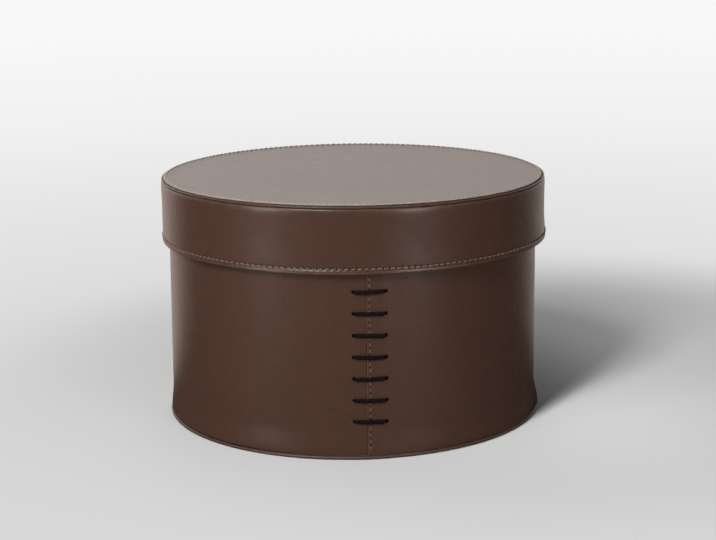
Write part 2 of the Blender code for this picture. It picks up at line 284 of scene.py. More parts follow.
def makeHideGroup():
    # Leather: fine pebbled grain, pores, soft creases, uneven dye, and paler places, worn or with a painted
    # highlight
    tree, given, out = newGroup(
        "hide grain", ("Dye", "Worn And Sheen Dye", "Wear And Sheen", "Grain Size", "Unevenness", "Base Roughness"),
        ("Color", "Roughness", "Height"))
    where = objectPlace(tree)
    warp = noise(where, 260.0, 2.0)["Color"]
    shifted = follow("VectorMath", {0: warp, 1: (0.0011, 0.0011, 0.0011), 2: where},
                     operation="MULTIPLY_ADD").outputs[0]
    perMetre = doMath("DIVIDE", 1000.0, given["Grain Size"])
    fromEdge = follow("TexVoronoi", {"Vector": shifted, "Scale": perMetre},
                      feature="DISTANCE_TO_EDGE").outputs["Distance"]
    pebble = mapRange(fromEdge, 0.0, 0.30)
    pores = noise(where, 2600.0, 2.0)["Fac"]
    creases = noise(where, 85.0, 5.0, Roughness=0.6, Distortion=0.6)["Fac"]
    patches = noise(where, 14.0, 3.0)["Fac"]
    shade = plus(times(patches, 0.65), times(creases, 0.35))
    swing = times(minus(shade, 0.5), given["Unevenness"])
    bright = plus(times(swing, 4.0), 1.0)
    dyed = scaled(given["Dye"], times(bright, mapRange(fromEdge, 0.0, 0.16, 0.86, 1.0)))
    brokenWearAndSheen = doMath("MULTIPLY", given["Wear And Sheen"], mapRange(creases, 0.30, 0.62, 0.25, 1.0), clamp=True)
    rough = plus(given["Base Roughness"], times(minus(creases, 0.5), 0.10))
    rough = plus(rough, times(minus(1.0, pebble), 0.07))
    feed(out, {"Color": mixColour(brokenWearAndSheen, dyed, given["Worn And Sheen Dye"]),
               "Roughness": minus(rough, times(brokenWearAndSheen, 0.04)),
               "Height": plus(plus(pebble, times(pores, 0.35)), times(creases, 0.4))})
    return tree


def makeNapGroup():
    # Suede: short fibres brushed unevenly, so that patches lie lighter or darker
    tree, given, out = newGroup("suede nap", ("Dye", "Brushed"), ("Color", "Height"))
    where = objectPlace(tree)
    fibres = noise(where, 1900.0, 3.0, Roughness=0.7)["Fac"]
    strokes = noise(where, 26.0, 4.0, Distortion=1.6)["Fac"]
    level = plus(1.0, times(minus(strokes, 0.5), given["Brushed"]))
    speckle = mapRange(fibres, 0.25, 0.75, 0.72, 1.18)
    feed(out, {"Color": scaled(given["Dye"], times(level, speckle)),
               "Height": plus(fibres, times(strokes, 0.5))})
    return tree


def makeTwistGroup():
    # Twisted strands along a thread, read from its own length and girth in millimetres and turns
    tree, given, out = newGroup("twisted ply", ("Dye", "Turns per mm", "Strands"), ("Color", "Height"))
    parts = mapParts(tree, "along")
    turn = times(plus(times(parts[0], given["Turns per mm"]), parts[1]), given["Strands"])
    wave = doMath("ABSOLUTE", doMath("SINE", times(turn, math.pi)))
    fuzz = noise(objectPlace(tree), 3000.0, 2.0)["Fac"]
    level = times(mapRange(wave, 0.0, 0.7, 0.62, 1.05), mapRange(fuzz, 0.3, 0.7, 0.88, 1.1))
    feed(out, {"Color": scaled(given["Dye"], level), "Height": plus(wave, times(fuzz, 0.25))})
    return tree


def makeHoleGroup():
    # A row of needle holes, counted along the row, and the puckers that the thread draws between them
    tree, given, out = newGroup(
        "needle holes", ("Along", "Across", "Pitch", "Hole Radius", "Pucker Reach"), ("Hole", "Pucker"))
    share = minus(doMath("FRACT", plus(given["Along"], 0.5)), 0.5)
    along = times(share, given["Pitch"])
    across = given["Across"]
    squares = plus(times(along, along), times(across, across))
    away = doMath("DIVIDE", doMath("SQRT", squares), given["Hole Radius"])
    wave = doMath("COSINE", times(given["Along"], math.tau))
    reach = doMath("DIVIDE", doMath("ABSOLUTE", across), given["Pucker Reach"])
    feed(out, {"Hole": mapRange(away, 0.7, 1.7, 1.0, 0.0),
               "Pucker": times(wave, mapRange(reach, 0.1, 1.0, 1.0, 0.0))})
    return tree


hideGroup = makeHideGroup()
holeGroup = makeHoleGroup()
napGroup = makeNapGroup()
twistGroup = makeTwistGroup()
print("stage: shader groups made")


# Materials

def newMaterial(name):
    material = bpy.data.materials.new(name)
    material.use_nodes = True
    return material, material.node_tree


def finishShader(tree, inputs, height, distance):
    # What the surface's own shader is given, with a bump from the height
    bumped = follow("Bump", {"Height": height, "Distance": distance, "Strength": 1.0}).outputs["Normal"]
    feed(tree.nodes["Principled BSDF"], {**inputs, "Normal": bumped})


stitchLook = {
    "pitch": 5.0 * mm,
    "length": 3.3 * mm,  # from hole to hole, ends included
    "radius": 0.38 * mm,
    "crown": 0.24 * mm,  # how far the middle of the thread lies above the leather
    "dive": 0.85 * mm,  # how far its ends go down into their holes
    "slant": 6.0,  # degrees off the row, as the tension of the seam leaves it
    "slantWander": 2.0,
    "sideWander": 0.05 * mm,
    "lengthRange": (0.96, 1.03),
    "crownRange": (0.8, 1.2),
    "radiusRange": (0.96, 1.04),
    "rings": 11,
    "sides": 8,
    "rowDentWidth": 1.6 * mm,  # how far to each side the leather is drawn in
    "seamDentWidth": 1.3 * mm,
}
seamLook = {**stitchLook, "length": 2.1 * mm, "radius": 0.28 * mm}
topStitchLook = {**stitchLook, "length": 4.1 * mm, "crown": 0.16 * mm, "slant": 3.0, "bright": True}

leatherLook = {
    "dye": (0.0583, 0.0270, 0.0173, 1.0),
    # the paler colour of worn places and of painted highlights
    "wornAndSheenDye": (0.150, 0.088, 0.062, 1.0),
    "holeShade": (0.010, 0.006, 0.005, 1.0),
    "grainSize": 0.85,
    "unevenness": 0.055,
    "roughness": 0.27,
    "specular": 0.40,
    "bump": 0.016 * mm,
    "holeRadius": 0.60,  # of a needle hole, in millimetres
    "holeDepth": 14.0,  # times the bump
    "puckerReach": 3.2,
    "puckerDepth": 2.2,
}


def makeLeather(name, look, rows=()):
    # Rows are the names of the maps that say where a row of sewing runs
    material, tree = newMaterial(name)
    wearAndSheen = addNode(tree, "Attribute", attribute_name="wearAndSheen").outputs["Fac"]
    given = {"Dye": look["dye"], "Worn And Sheen Dye": look["wornAndSheenDye"], "Grain Size": look["grainSize"],
             "Unevenness": look["unevenness"], "Base Roughness": look["roughness"], "Wear And Sheen": wearAndSheen}
    colour, roughness, height = addNode(tree, "Group", given, node_tree=hideGroup).outputs
    for row in rows:
        parts = mapParts(tree, row)
        given = {"Along": parts[0], "Across": parts[1], "Pitch": stitchLook["pitch"] / mm,
                 "Hole Radius": look["holeRadius"], "Pucker Reach": look["puckerReach"]}
        hole, pucker = addNode(tree, "Group", given, node_tree=holeGroup).outputs
        # Painted shade darkens each needle hole
        colour = mixColour(times(hole, 0.9), colour, look["holeShade"])
        height = minus(height, plus(times(hole, look["holeDepth"]), times(pucker, look["puckerDepth"])))
    finish = {"Base Color": colour, "Roughness": roughness, "Specular IOR Level": look["specular"]}
    finishShader(tree, finish, height, look["bump"])
    return material


saddleLeather = makeLeather("saddle leather", leatherLook, ("ring row", "seam row"))
# Painted light: the top's leather is a lighter copy of the sides', for the stronger light on the top, and its
# pale colour paints the highlight on the lip
topPaintedLitLook = {**leatherLook, "dye": (0.098, 0.046, 0.028, 1.0), "wornAndSheenDye": (0.40, 0.30, 0.23, 1.0),
           "unevenness": 0.03, "bump": 0.011 * mm}
topPaintedLitLeather = makeLeather("top leather painted lighter", topPaintedLitLook, ("ring row",))
# Dark cut-edge leather, also painted shade: on the lid's hem edge and the top's edge
darkEdgeAndShadeLook = {**leatherLook, "dye": (0.030, 0.014, 0.010, 1.0), "roughness": 0.5, "specular": 0.25}
darkEdgeAndShadeLeather = makeLeather("dark edge and painted shade leather", darkEdgeAndShadeLook)
plainLeather = makeLeather("plain leather", leatherLook)
pipingLook = {**leatherLook, "dye": (0.061, 0.036, 0.027, 1.0), "grainSize": 0.6, "specular": 0.3,
              "bump": 0.025 * mm}
pipingLeather = makeLeather("piping leather", pipingLook)
laceDye = {**leatherLook, "dye": (0.0050, 0.0038, 0.0034, 1.0), "wornAndSheenDye": (0.014, 0.010, 0.009, 1.0),
           "grainSize": 0.5, "unevenness": 0.15, "roughness": 0.60, "specular": 0.07, "bump": 0.04 * mm}
laceLeather = makeLeather("lace leather", laceDye)


def makeFibrous(name, group, given, finish):
    material, tree = newMaterial(name)
    colour, height = addNode(tree, "Group", given, node_tree=group).outputs
    finishShader(tree, {"Base Color": colour, **finish}, height, 0.10 * mm)
    return material


def makeThread(name, dye):
    return makeFibrous(name, twistGroup, {"Dye": dye, "Turns per mm": 0.8, "Strands": 2.0},
                       {"Roughness": 0.7, "Specular IOR Level": 0.12, "Sheen Weight": 0.05})


def makeBoard():
    # Plain fibreboard, which only shows where a part is taken apart
    material, tree = newMaterial("fibreboard")
    pulp = noise(objectPlace(tree), 700.0, 4.0)["Fac"]
    colour = mixColour(pulp, (0.19, 0.13, 0.085, 1.0), (0.36, 0.27, 0.19, 1.0))
    finishShader(tree, {"Base Color": colour, "Roughness": 0.9}, pulp, 0.1 * mm)
    return material


suedeFinish = {"Roughness": 0.95, "Specular IOR Level": 0.2, "Sheen Weight": 0.35, "Sheen Roughness": 0.4}
suede = makeFibrous("tan suede", napGroup, {"Dye": (0.225, 0.145, 0.092, 1.0), "Brushed": 0.45}, suedeFinish)
thread = makeThread("waxed tan thread", (0.215, 0.142, 0.100, 1.0))
# Painted light: the top's row of stitches takes a lighter copy of the thread, for the light that falls on it
# from above
paintedLitThread = makeThread("waxed thread on the rim, painted lighter", (0.44, 0.355, 0.295, 1.0))
board = makeBoard()
print("stage: materials made")


# Sewing

def makeStitches(name, centres, alongs, outs, node, body, seed, look):
    # One short bowed thread for each stitch, its ends going down into the leather
    rng = random.Random(seed)
    rings, sides = look["rings"], look["sides"]
    ts = np.linspace(-1, 1, rings)
    turns = fullTurn(sides)
    verts, faces, uvs = [], [], []
    for centre, along, out in zip(centres, alongs, outs):
        side = np.cross(out, along)
        slant = math.radians(look["slant"] + rng.gauss(0, look["slantWander"]))
        forward = along * math.cos(slant) + side * math.sin(slant)
        across = np.cross(out, forward)
        half = look["length"] / 2 * rng.uniform(*look["lengthRange"])
        shift = side * rng.gauss(0, look["sideWander"])
        crown = look["crown"] * rng.uniform(*look["crownRange"])
        reach = half * np.sin(ts * math.pi / 2) * (1 - 0.04 * ts ** 2)
        rise = crown - (crown + look["dive"]) * np.abs(ts) ** 3.5
        path = centre + shift + reach[:, None] * forward + rise[:, None] * out
        heading = np.gradient(path, axis=0)
        heading /= np.linalg.norm(heading, axis=1)[:, None]
        upward = np.cross(heading, across)
        radius = look["radius"] * (1 - 0.22 * np.abs(ts) ** 3) * rng.uniform(*look["radiusRange"])
        first = len(verts)
        for k in range(rings):
            ring = np.cos(turns)[:, None] * across + np.sin(turns)[:, None] * upward[k]
            verts.extend(ring * radius[k] + path[k])
            uvs.extend([((reach[k] + half) / mm, t / math.tau) for t in turns])
        for a in range(first, first + (rings - 1) * sides, sides):
            b = a + sides
            faces += [(a + m, a + (m + 1) % sides, b + (m + 1) % sides, b + m) for m in range(sides)]
        faces += [tuple(range(first, first + sides)), tuple(range(len(verts) - sides, len(verts)))]
    # The top's row takes the thread copy painted lighter
    material = paintedLitThread if look.get("bright") else thread
    dress(makeObject(name, verts, faces, material, maps={"along": uvs}), body, node)


def ringStitches(name, radius, z, facing, lift, proud, node, body, seed, look=stitchLook):
    # A row round the box, standing out sideways, inwards or upwards, a little proud of the leather's face
    count = stitchCount(radius)
    angles = math.tau * (np.arange(count) + 0.5) / count
    alongs = np.stack([-np.sin(angles), np.cos(angles), np.zeros(count)], -1)
    raised = np.full(count, proud)
    if lift:
        raised = lift(angles, np.full(count, radius if facing == "up" else z)) + proud
    if facing == "up":
        outs = np.tile([0.0, 0.0, 1.0], (count, 1))
        centres = cylinderPoint(angles, radius + topDisc["aside"] * np.cos(angles), z + raised)
    else:
        outs = cylinderPoint(angles, np.full(count, 1.0 if facing == "side" else -1.0), 0.0)
        centres = cylinderPoint(angles, radius + raised, z)
    makeStitches(name, centres, alongs, outs, node, body, seed, look)


def seamStitches(name, spec, lift, node, body, seed):
    # A row straight up a lapped seam
    row, seam = spec["seamRow"], spec["seam"]
    heights = np.arange(row["low"] + row["pitch"] / 2, row["high"], row["pitch"])
    out = np.array([math.cos(seam), math.sin(seam), 0.0])
    up = np.array([0.0, 0.0, 1.0])
    centres = [out * (spec["radius"] + float(lift(np.array([seam]), z)[0])) + up * z for z in heights]
    makeStitches(name, centres, [up] * len(heights), [out] * len(heights), node, body, seed, seamLook)


def sewSheet(body, row, spec, lift, proud, seeds):
    # The seam's stitches, and the ring's outside and inside
    ring, node, z = "%s_%s_stitches" % (body, row), "%s_%s_thread" % (body, row), spec["ringZ"]
    seamStitches(body + "_seam_stitches", spec, lift, body + "_seam_thread", body, seeds[0])
    ringStitches(ring, spec["radius"], z, "side", lift, proud, node, body, seeds[1])
    ringStitches(ring + "_inside", spec["lipInner"], z, "inside", None, -0.1 * mm, node, body, seeds[2])


def stitchCount(radius):
    return round(math.tau * radius / stitchLook["pitch"])


def rowDent(angle, across, radius, depth):
    # How deep the leather is drawn in along a row of stitches: deepest at the holes between two stitches
    phase = np.cos(angle * stitchCount(radius))
    return depth * bump(across, stitchLook["rowDentWidth"]) * (0.55 + 0.45 * phase)


def seamDent(spec, s, z):
    # The same along a seam's own row, on the layer that shows
    row = spec["seamRow"]
    nearest = np.minimum(np.abs(s), np.abs(s - math.tau * spec["radius"]))
    wave = 0.5 + 0.5 * np.cos(math.tau * (z - row["low"]) / row["pitch"])
    inRow = (z > row["low"] - 1 * mm) & (z < row["high"] + 1 * mm)
    dent = spec["seamDent"] * bump(nearest, stitchLook["seamDentWidth"]) * (0.5 + 0.5 * wave)
    return dent * inRow * (s < 5 * mm)


# Leather sides

lap = {
    "shown": 2.5 * mm,  # from the seam's stitches to the edge that shows
    "hidden": 8.0 * mm,
    "notch": 0.4 * mm,
    "ease": 12.0 * mm,
    "rise": 0.60 * mm,
    "skived": 1.0 * mm,
    "edgeRound": 0.45 * mm,
    "edgeDrop": 0.35 * mm,
    "gap": 0.3 * mm,  # left free round the under layer
}


def lapLift(s):
    # Rise of the upper layer, rounded off at the edge that shows
    edge = np.clip((s + lap["shown"]) / lap["edgeRound"], 0, 1)
    rounding = lap["edgeDrop"] * (1 - np.sqrt(1 - (1 - edge) ** 2))
    inside = (s >= -lap["shown"] - 1e-9) & (s < lap["hidden"] + lap["notch"] + lap["ease"])
    rise = lap["rise"] * (1 - ease((s - lap["hidden"] - lap["notch"]) / lap["ease"]))
    return np.where(inside, rise - rounding * (np.abs(s + lap["shown"]) < lap["edgeRound"]), 0.0)


def seamDistance(angle, spec):
    # Metres past the seam's stitches, from just before the edge that shows to once round
    before = lap["shown"] / spec["radius"]
    return (np.mod(angle - spec["seam"] + before + 1e-9, math.tau) - before) * spec["radius"]


def sheetColumns(spec):
    # Distances round a sheet from the edge that shows to the notch, then the thin under layer below the start
    girth = math.tau * spec["radius"]
    full = stepped((-lap["shown"], -lap["shown"] + lap["edgeRound"], 0.15 * mm),
                   (-2.0 * mm, 2.0 * mm, 0.4 * mm), *spec["fine"], (22 * mm, girth - 22 * mm, spec["coarse"]),
                   (girth - 8 * mm, girth - lap["shown"] - lap["notch"], 1.0 * mm))
    return full, girth + stepped((-lap["shown"] - 0.9 * lap["notch"], lap["hidden"], 2.0 * mm))


def sheetOutline(spec):
    # Each point: whether it lies outside (1), in the turned lip (0) or inside (2), its offset and its height
    plain, turned, edge, roll = spec["plain"], spec["turned"], spec["plainRound"], spec["roll"]
    up = 1 if turned > plain else -1
    levels = stepped((plain + up * edge, turned - up * roll, spec["levelStep"]),
                     (spec["ringZ"] - spec["rowBand"], spec["ringZ"] + spec["rowBand"], spec["rowStep"]),
                     *spec["moreLevels"])[::up]
    levels = thinned(levels, spec["levelGap"])
    lipInner, lipOuter = spec["lipInner"] - spec["radius"], spec["lipOuter"] - spec["radius"]
    lipRoll, lipZ = 0.4 * mm, turned - up * spec["lip"]
    underZ = turned - up * place["leather"]
    start, arc = np.radians(np.linspace(-90, 0, 4))[:-1], np.radians(np.linspace(0, 90, 7))
    outline = [(1, -edge + edge * math.cos(a), plain + up * (edge + edge * math.sin(a))) for a in start]
    outline += [(1, 0.0, z) for z in levels]
    outline += [(1, -roll + roll * math.cos(a), turned - up * roll + up * roll * math.sin(a)) for a in arc]
    outline += [(0, lipInner + lipRoll - lipRoll * math.sin(a),
                 turned - up * lipRoll + up * lipRoll * math.cos(a)) for a in arc]
    outline += [(0, lipInner, z) for z in np.linspace(turned - up * 2 * mm, lipZ, 5)]
    outline += [(0, lipOuter, lipZ), (0, lipOuter, underZ), (0, -place["leather"], underZ)]
    inner = [z for z in levels[::8][::-1] + [plain] if (underZ - z) * up > 0.5 * mm]
    outline += [(2, -place["leather"], z) for z in inner]
    return [np.array(column) for column in zip(*outline)]


def leatherSheet(name, spec, outerLift, wearAndSheenAt):
    # A sheet bent round the wall as one closed mesh: outside, turned edge, lip, inside and skived under layer
    radius, plain, turned = spec["radius"], spec["plain"], spec["turned"]
    up = 1 if turned > plain else -1
    full, under = sheetColumns(spec)
    kinds, offsets, heights = sheetOutline(spec)
    count, outerCount = len(kinds), int((kinds == 1).sum())
    columns, wearAndSheenColumns, ringRow, seamRow = [], [], [], []
    wayRound = stitchCount(radius) / math.tau

    def addColumn(s, zs, depth, rise, wearAndSheen):
        row, angle = spec["seamRow"], spec["seam"] + s / radius
        outside = (zs < row["low"]) | (zs > row["high"])
        ringRow.append(np.stack([np.full_like(zs, angle * wayRound), (zs - spec["ringZ"]) / mm], -1))
        seamRow.append(np.stack([(zs - row["low"]) / row["pitch"], s / mm + 1000.0 * outside], -1))
        columns.append(cylinderPoint(np.full(count, angle), depth, zs + rise))
        wearAndSheenColumns.append(wearAndSheen)

    def flareAt(angle, zs):
        return spec["flare"](angle, zs) if "flare" in spec else 0.0

    for s in full:
        angle = spec["seam"] + s / radius
        here = np.full(count, angle)
        inside = flareAt(here, heights) + np.minimum(lapLift(s) * 1.4, 0.9 * mm)
        bulk = np.where(kinds == 1, outerLift(here, heights), 0.0) + np.where(kinds == 2, inside, 0.0)
        rise = spec["rise"](angle, heights) if "rise" in spec else 0.0
        addColumn(s, heights, radius + offsets + bulk, rise, wearAndSheenAt(np.full(count, s), heights, kinds))
    hem, underTop = plain + up * lap["gap"], turned - up * (place["leather"] + lap["gap"])
    zs = np.append(np.linspace(hem, underTop, outerCount), np.linspace(underTop, hem, count - outerCount))
    outerDepth = lap["rise"] - lap["skived"] - lap["gap"]
    depth = np.where(np.arange(count) < outerCount, outerDepth, -place["leather"] + 0.2 * mm)
    for s in under:
        flare = flareAt(np.full(count, spec["seam"] + s / radius), zs)
        addColumn(s, zs, radius + depth + flare, 0.0, np.zeros(count))
    faces = gridFaces(len(columns), count, False, True)
    faces += [tuple(range(count)), tuple(range((len(columns) - 1) * count, len(columns) * count))]
    maps = {"ring row": np.concatenate(ringRow), "seam row": np.concatenate(seamRow)}
    wearAndSheen = np.concatenate(wearAndSheenColumns)
    return makeObject(name, np.concatenate(columns), faces, saddleLeather, maps=maps, wearAndSheen=wearAndSheen)


def sheetPlaces(radius, seam, lining, ringThread, seamThread):
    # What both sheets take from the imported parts; a seam's pitch is the one that fits its row
    lowZ, highZ = low(seamThread).z, high(seamThread).z
    pitch = (highZ - lowZ) / int((highZ - lowZ) / stitchLook["pitch"])
    return {
        "radius": radius,
        "seam": seam,
        "seamRow": {"low": lowZ, "high": highZ, "pitch": pitch},
        "seamDent": 0.30 * mm,
        "ringZ": midZ(ringThread),
        "lip": 8.0 * mm,
        "lipInner": high(lining).x - place["lining"],
        "lipOuter": high(lining).x,
    }


laces = sorted((n for n in nodes if n.startswith("seam_lace_")), key=lambda n: -high(n).z)
laceHeights = [midZ(n) for n in laces]
frontSeam, backSeam = math.radians(-90), math.radians(90)
bodyGirth = math.tau * place["bodySide"]

bodySheet = {
    **sheetPlaces(place["bodySide"], frontSeam, "body_wall_lining", "body_rim_thread", "body_seam_thread"),
    "plain": low("body_wall_leather").z,
    "turned": high("body_wall_leather").z,
    "roll": 0.8 * mm,
    "plainRound": 0.5 * mm,
    "coarse": 2.4 * mm,
    "fine": [(2 * mm, 22 * mm, 0.8 * mm), (10 * mm, 17 * mm, 0.5 * mm),
             (bodyGirth - 17 * mm, bodyGirth - 10 * mm, 0.5 * mm)],
    "levelStep": 1.2 * mm,
    "levelGap": 0.3 * mm,
    "rowBand": 1.8 * mm,
    "rowStep": 0.45 * mm,
    "moreLevels": [(z - 3.6 * mm, z + 3.6 * mm, 0.6 * mm) for z in laceHeights],
    "proud": 0.35 * mm,
    "flareTop": 25 * mm,
    "flareLow": 3 * mm,
    "flareOut": 1.6 * mm,
    "frontShare": 0.25,  # of that spread, at the front, right of the seam
    "frontHeading": -45,
    "flareRight": 2.8 * mm,  # the base spreads the wall further on the right than on the left,
    "leanLeft": 1.5 * mm,  # where the wall leans out all the way down
    "drawnLeft": 0.6 * mm,  # from a rim drawn in by this much
    "holeReach": 12.4 * mm,
    "holeRadius": 1.5 * mm,
    "holeDent": 0.20 * mm,
    "holeDentWidth": 4.2 * mm,
    "rowDent": 0.22 * mm,
    "wander": 0.12 * mm,
    "ripple": 0.05 * mm,
}


def bodyFlare(angle, z):
    spec = bodySheet
    share = ease((spec["flareTop"] - z) / (spec["flareTop"] - spec["flareLow"]))
    spread = spec["flareOut"] * (1 - (1 - spec["frontShare"]) * towards(angle, spec["frontHeading"]))
    return share * (spread + spec["flareRight"] * towards(angle, 0))


def bodyLift(angle, z):
    # Everything that moves the outer face off a true cylinder
    spec = bodySheet
    s = seamDistance(angle, spec)
    rimShare = (z - spec["plain"]) / (spec["turned"] - spec["plain"])
    lift = bodyFlare(angle, z) + lapLift(s) + spec["proud"] * np.clip(1 - rimShare, 0, 0.3) / 0.3
    lift = lift + (spec["leanLeft"] * ease(1 - rimShare) - spec["drawnLeft"]) * towards(angle, 180)
    lift = lift + spec["wander"] * smoothNoise(angle, 3, (2, 3, 5, 7)) * np.sin(math.pi * rimShare)
    lift = lift + spec["ripple"] * smoothNoise(angle + 9 * z, 5, (9, 13, 17))
    lift = lift - seamDent(spec, s, z)
    lift = lift - rowDent(angle, z - spec["ringZ"], spec["radius"], spec["rowDent"])
    for height in laceHeights:
        for reach in (spec["holeReach"], bodyGirth - spec["holeReach"]):
            away = np.hypot(s - reach, z - height)
            lift = lift - spec["holeDent"] * bump(away, spec["holeDentWidth"]) ** 2
    return lift


def bodyRub(s, z, kinds):
    hem = bump(z - bodySheet["plain"], 1.6 * mm)
    rim = bump(z - bodySheet["turned"], 2.2 * mm)
    edge = bump(s + lap["shown"], 0.6 * mm)
    return np.where(kinds == 1, np.clip(0.15 * hem + 0.5 * rim + 0.9 * edge, 0, 1), 0.35 * rim)


def punchHoles(obj, spec):
    # Real holes for the laces, square to the wall
    bm = bmesh.new()
    for z in laceHeights:
        for s in (-spec["holeReach"], spec["holeReach"]):
            angle = spec["seam"] + s / spec["radius"]
            centre = Vector((spec["radius"] * math.cos(angle), spec["radius"] * math.sin(angle), z))
            turn = Matrix.Rotation(angle, 4, "Z") @ Matrix.Rotation(math.radians(90), 4, "Y")
            bmesh.ops.create_cone(bm, cap_ends=True, segments=24, radius1=spec["holeRadius"],
                                  radius2=spec["holeRadius"], depth=8 * mm,
                                  matrix=Matrix.Translation(centre) @ turn)
    mesh = bpy.data.meshes.new("hole punch")
    bm.to_mesh(mesh)
    bm.free()
    mesh.materials.append(darkEdgeAndShadeLeather)
    punch = linkObject("hole_punch", mesh)
    modifier = obj.modifiers.new("punch", "BOOLEAN")
    modifier.object = punch
    modifier.solver = "EXACT"
    modifier.material_mode = "TRANSFER"
    cut = bpy.data.meshes.new_from_object(obj.evaluated_get(bpy.context.evaluated_depsgraph_get()))
    obj.modifiers.clear()
    obj.data = cut
    bpy.data.objects.remove(punch)
    shadeSmooth(cut)


bodySheet["flare"] = bodyFlare
bodyLeather = leatherSheet("body_leather", bodySheet, bodyLift, bodyRub)
punchHoles(bodyLeather, bodySheet)
dress(bodyLeather, "body", "body_wall_leather")
print("stage: body leather", len(bodyLeather.data.polygons))

sewSheet("body", "rim", bodySheet, bodyLift, 0.1 * mm, (11, 12, 16))

lidSheet = {
    **sheetPlaces(place["lidSide"], backSeam, "lid_side_lining", "lid_edge_thread", "lid_seam_thread"),
    "plain": high("lid_side_leather").z,
    "turned": low("lid_side_leather").z,
    "roll": 0.7 * mm,
    "plainRound": 0.8 * mm,
    "coarse": 1.2 * mm,
    "fine": [(2 * mm, 22 * mm, 1.0 * mm)],
    "levelStep": 1.6 * mm,
    "levelGap": 0.25 * mm,
    "rowBand": 2.4 * mm,
    "rowStep": 0.4 * mm,
    "moreLevels": [],
    "proud": 0.70 * mm,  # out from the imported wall, to stand level with the piping
    "waist": 0.25 * mm,
    "shoulder": 0.35 * mm,  # the side curves in a little below the piping
    "aside": 1.0 * mm,  # the lid's skin stands away a little on the right, and lies closer on the left
    "flareRight": 0.9 * mm,  # and its lower edge more so
    "edgeBulge": 0.60 * mm,  # the folded hem below the stitches swells out to its lower edge
    "bulgeReach": 2.9 * mm,
    "shoulderReach": 5 * mm,
    "rimRise": 0.8 * mm,  # the rim stands a little higher to the left of the front,
    "rimHeading": -116,
    "riseFrom": 6 * mm,  # from this far above the lower row of stitches
    "rowDent": 0.27 * mm,
    "wander": 0.10 * mm,
    "ripple": 0.04 * mm,
}


def rimRise(angle):
    return lidSheet["rimRise"] * towards(angle, lidSheet["rimHeading"], 1.5)


def lidRise(angle, z):
    row, start = lidSheet["ringZ"], lidSheet["riseFrom"]
    return rimRise(angle) * ease((z - row - start) / (lidSheet["plain"] - row - start))


def lidLift(angle, z):
    spec = lidSheet
    s = seamDistance(angle, spec)
    share = np.clip((z - spec["turned"]) / (spec["plain"] - spec["turned"]), 0, 1)
    lift = lapLift(s) + spec["proud"] - spec["waist"] * np.sin(math.pi * share) ** 1.5
    shoulder = spec["shoulder"] * bump(z - spec["plain"], spec["shoulderReach"]) ** 2
    lift = lift + spec["aside"] * np.cos(angle) - shoulder
    lift = lift + spec["flareRight"] * towards(angle, 0) * (1 - ease(share / 0.45))
    lift = lift + spec["wander"] * smoothNoise(angle, 21, (2, 3, 5, 8))
    lift = lift + spec["ripple"] * smoothNoise(angle + 11 * z, 23, (11, 15, 19))
    below = ease((spec["ringZ"] - z) / spec["bulgeReach"])
    lift = lift + spec["edgeBulge"] * below * (0.35 + 0.65 * towards(angle, -90))
    lift = lift - rowDent(angle, z - spec["ringZ"], spec["radius"], spec["rowDent"])
    return lift - seamDent(spec, s, z)


# Paler places on the lid: worn edges, and a painted highlight on the hem below the stitches, strongest at the
# front
def lidWearAndSheen(s, z, kinds):
    front = towards(lidSheet["seam"] + s / lidSheet["radius"], -90, 4)
    lower = bump(z - lidSheet["turned"], 2.6 * mm) * (0.3 + 0.7 * front)
    upper = bump(z - lidSheet["plain"], 1.6 * mm)
    edge = bump(s + lap["shown"], 0.5 * mm)
    return np.where(kinds == 1, np.clip(0.5 * lower + 0.5 * upper + 0.75 * edge, 0, 1), 0.4 * lower)


lidSheet["rise"] = lidRise
lidLeather = leatherSheet("lid_leather", lidSheet, lidLift, lidWearAndSheen)
# Painted shade: the hem's rounded lower edge takes the dark cut-edge leather, standing in for the shadow line
# under the lid
lidLeather.data.materials.append(darkEdgeAndShadeLeather)
for face in lidLeather.data.polygons:
    outward = math.hypot(face.center.x, face.center.y) - lidSheet["radius"]
    if face.center.z < lidSheet["turned"] + 0.8 * lidSheet["roll"] and outward > -lidSheet["roll"]:
        face.material_index = 1
dress(lidLeather, "lid", "lid_side_leather")
print("stage: lid leather", len(lidLeather.data.polygons))

sewSheet("lid", "edge", lidSheet, lidLift, 0.12 * mm, (13, 14, 17))


# The top of the lid

topDisc = {
    "radius": high("lid_top_leather").x + 0.6 * mm,
    "aside": 0.6 * mm,  # it lies a little to the right with the side's skin
    "stitchInset": 2.3 * mm,
    "edgeRound": 1.2 * mm,  # the edge curves down this far,
    "edgeWide": 2.2 * mm,  # over this width
    "wearAndSheen": (0.85, 0.8, 0.6, 0.4, 0.25, 0.1, 0.0, 0.0),  # how pale its rings are, from the inner one outwards: a painted highlight along the lip, and wear
    "darkEdgeReach": 0.8 * mm,  # how far in the dark edge of the cut leather reaches, a dark-dyed edge that also stands in for painted shade above the piping
    "puff": 0.46 * mm,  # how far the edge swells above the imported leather,
    "puffFrom": 5.4 * mm,  # from this far in
    "puffTo": 1.8 * mm,
    "dish": 0.35 * mm,  # how far the middle lies below the edge
    "thickness": place["leather"],
    "hub": 8 * mm,  # the innermost ring
    "border": 12 * mm,  # how wide the finer rings reach in
    "columns": 4,  # for each stitch
    "rowDent": 0.28 * mm,
    "wander": 0.10 * mm,
    "ripple": 0.05 * mm,
}
topDisc["stitchRadius"] = topDisc["radius"] - topDisc["stitchInset"]


def topLift(angle, r):
    spec = topDisc
    share = r / spec["radius"]
    rim = ease((r - spec["radius"] + spec["puffFrom"]) / (spec["puffFrom"] - spec["puffTo"]))
    lift = spec["puff"] * rim - spec["dish"] * (1 - share ** 2)
    wander = spec["wander"] * smoothNoise(angle, 31, (2, 3, 4)) * np.sin(math.pi * r / spec["radius"])
    ripple = spec["ripple"] * np.sin(r * 70 + 2.0 * np.cos(angle * 2))
    lift = lift + wander + ripple + rimRise(angle) * share ** 4
    return lift - rowDent(angle, r - spec["stitchRadius"], spec["stitchRadius"], spec["rowDent"])


